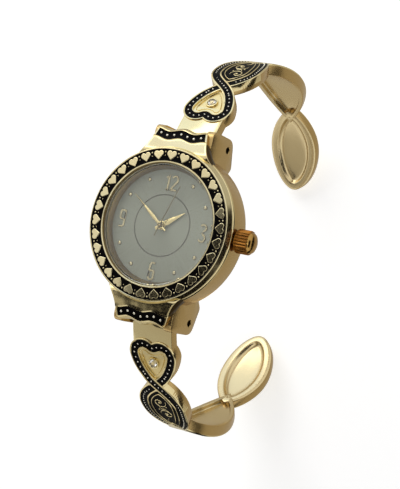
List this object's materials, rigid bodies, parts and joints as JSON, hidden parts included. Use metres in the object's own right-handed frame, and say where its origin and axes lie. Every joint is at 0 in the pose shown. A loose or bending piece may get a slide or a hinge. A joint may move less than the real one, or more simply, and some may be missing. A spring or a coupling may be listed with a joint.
{
  "type": "bangle watch",
  "caption": "Round quartz watch head with a heart-set enamel bezel between two hinged, spring-closed arms that form an oval cuff bangle.",
  "frame": {"origin": "centre of the case back's flat outer face, which lies on the wrist", "axes": "+Z out of the dial, +Y to 12 o'clock, +X to 3 o'clock and the crown"},
  "size_m": [0.0285, 0.0658, 0.0503],
  "materials": {
    "gold": "polished pale gold plating",
    "enamel": "glossy black enamel",
    "crystal": "clear flat mineral glass",
    "seal_pale": "pale nylon seal",
    "flange_gold": "brushed gold",
    "dial_silver": "silvered sunray",
    "applied_gold": "polished gold plating",
    "steel": "polished stainless steel",
    "steel_satin": "satin",
    "seal_black": "matt nitrile",
    "holder_plastic": "moulded",
    "movement_brass": "fine satin",
    "board": "green solder mask",
    "copper": "enamelled copper winding",
    "pin_gold": "turned, slightly recessed",
    "spring_steel": "drawn wire",
    "magnet": "sintered magnet",
    "hand_gold": "polished, facets along the blade",
    "crown_gold": "polished yellow gold plating",
    "stone": "faceted clear crystal"
  },
  "bodies": {
    "case": {"case_body": "gold", "bezel": "gold", "bezel_enamel": "enamel", "upper_collar_enamel": "enamel", "lower_collar_enamel": "enamel", "crystal": "crystal", "crystal_gasket": "seal_pale", "dial_flange": "flange_gold", "dial": "dial_silver", "dial_numerals": "applied_gold", "dial_dots": "applied_gold", "case_back": "steel", "case_back_gasket": "seal_black", "movement_holder": "holder_plastic", "main_plate": "movement_brass", "train_bridge": "steel_satin", "bridge_screws": "steel", "circuit_board": "board", "coil": "copper", "stator": "steel_satin", "button_cell": "steel", "cell_clamp": "steel_satin", "crown_tube": "movement_brass", "upper_hinge_pin": "pin_gold", "lower_hinge_pin": "pin_gold", "upper_hinge_spring": "spring_steel", "lower_hinge_spring": "spring_steel"},
    "upper_arm_group": {"upper_arm": "gold", "upper_arm_enamel": "enamel", "upper_stone": "stone"},
    "lower_arm_group": {"lower_arm": "gold", "lower_arm_enamel": "enamel", "lower_stone": "stone"},
    "seconds_group": {"seconds_wheel": "movement_brass", "second_hand": "hand_gold"},
    "minutes_group": {"centre_wheel": "movement_brass", "minute_hand": "hand_gold"},
    "hours_group": {"hour_wheel": "movement_brass", "hour_hand": "hand_gold"},
    "third_group": {"third_wheel": "movement_brass"},
    "step_group": {"step_wheel": "movement_brass"},
    "rotor_group": {"rotor": "magnet"},
    "minute_wheel_group": {"minute_wheel": "movement_brass"},
    "crown_carriage": {"stem_yoke": "steel_satin"},
    "crown_group": {"stem": "steel", "crown": "crown_gold", "crown_gasket": "seal_black"}
  },
  "joints": [
    {"name": "upper_arm_hinge", "type": "hinge", "parent": "case", "child": "upper_arm_group", "pos_m": [0, 0.0141, -0.0006], "axis": [1, 0, 0], "range_deg": [0, 35], "stiffness_Nm_per_rad": 0.02, "springref_deg": -17.19, "deforming": ["upper_hinge_spring"]},
    {"name": "lower_arm_hinge", "type": "hinge", "parent": "case", "child": "lower_arm_group", "pos_m": [0, -0.0141, -0.0006], "axis": [-1, 0, 0], "range_deg": [0, 35], "stiffness_Nm_per_rad": 0.02, "springref_deg": -17.19, "deforming": ["lower_hinge_spring"]},
    {"name": "seconds_turn", "type": "hinge", "parent": "case", "child": "seconds_group", "pos_m": [0, 0, 0.003], "axis": [0, 0, 1], "continuous": true},
    {"name": "minutes_turn", "type": "hinge", "parent": "case", "child": "minutes_group", "pos_m": [0, 0, 0.003], "axis": [0, 0, 1], "continuous": true},
    {"name": "hours_turn", "type": "hinge", "parent": "case", "child": "hours_group", "pos_m": [0, 0, 0.0045], "axis": [0, 0, 1], "continuous": true},
    {"name": "third_wheel_turn", "type": "hinge", "parent": "case", "child": "third_group", "pos_m": [0.0012, 0.00208, 0.003], "axis": [0, 0, 1], "continuous": true},
    {"name": "step_wheel_turn", "type": "hinge", "parent": "case", "child": "step_group", "pos_m": [0.00157, -0.00188, 0.003], "axis": [0, 0, 1], "continuous": true},
    {"name": "rotor_turn", "type": "hinge", "parent": "case", "child": "rotor_group", "pos_m": [0.00286, -0.00341, 0.003], "axis": [0, 0, 1], "continuous": true},
    {"name": "minute_wheel_turn", "type": "hinge", "parent": "case", "child": "minute_wheel_group", "pos_m": [-0.0028, 0, 0.003], "axis": [0, 0, 1], "continuous": true},
    {"name": "crown_pull", "type": "slide", "parent": "case", "child": "crown_carriage", "axis": [1, 0, 0], "range_m": [0, 0.001]},
    {"name": "crown_turn", "type": "hinge", "parent": "crown_carriage", "child": "crown_group", "pos_m": [0.0128, 0, 0.0042], "axis": [1, 0, 0], "continuous": true}
  ],
  "couplings": [
    {"joint": "minutes_turn", "follows": "seconds_turn", "ratio": 0.016667},
    {"joint": "hours_turn", "follows": "seconds_turn", "ratio": 0.0013889},
    {"joint": "third_wheel_turn", "follows": "seconds_turn", "ratio": -0.13333},
    {"joint": "step_wheel_turn", "follows": "seconds_turn", "ratio": -4},
    {"joint": "rotor_turn", "follows": "seconds_turn", "ratio": 30},
    {"joint": "minute_wheel_turn", "follows": "seconds_turn", "ratio": -0.0055556}
  ]
}
